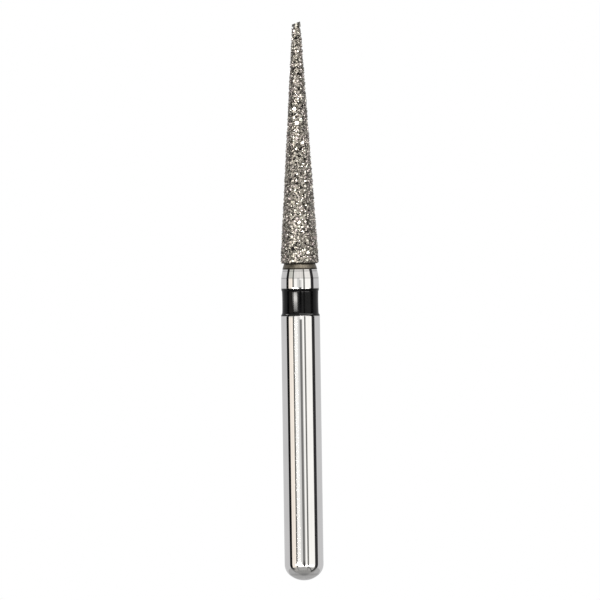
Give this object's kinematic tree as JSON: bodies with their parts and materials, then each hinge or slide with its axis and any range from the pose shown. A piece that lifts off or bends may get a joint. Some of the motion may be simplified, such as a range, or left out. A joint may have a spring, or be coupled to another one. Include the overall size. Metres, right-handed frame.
{
  "type": "dental bur",
  "caption": "Rotary dental bur: plain cylindrical shank with a rounded end, a black ring in a groove, a tapered shoulder and a long pointed head covered with diamond grit.",
  "frame": {"origin": "centre of the shank's rounded end, on the axis of rotation", "axes": "+Z along the axis of rotation from the shank's end to the tip of the head; X and Y across the shank"},
  "size_m": [0.0016, 0.0016, 0.023],
  "materials": {
    "steel": "polished stainless steel, mirror bright",
    "lacquer": "glossy black lacquer",
    "nickel": "dull electroplated nickel",
    "diamond": "glinting grey crystals"
  },
  "bodies": {
    "root": {"steel_blank": "steel", "colour_band": "lacquer", "nickel_bond": "nickel", "diamond_grit": "diamond"}
  },
  "joints": []
}
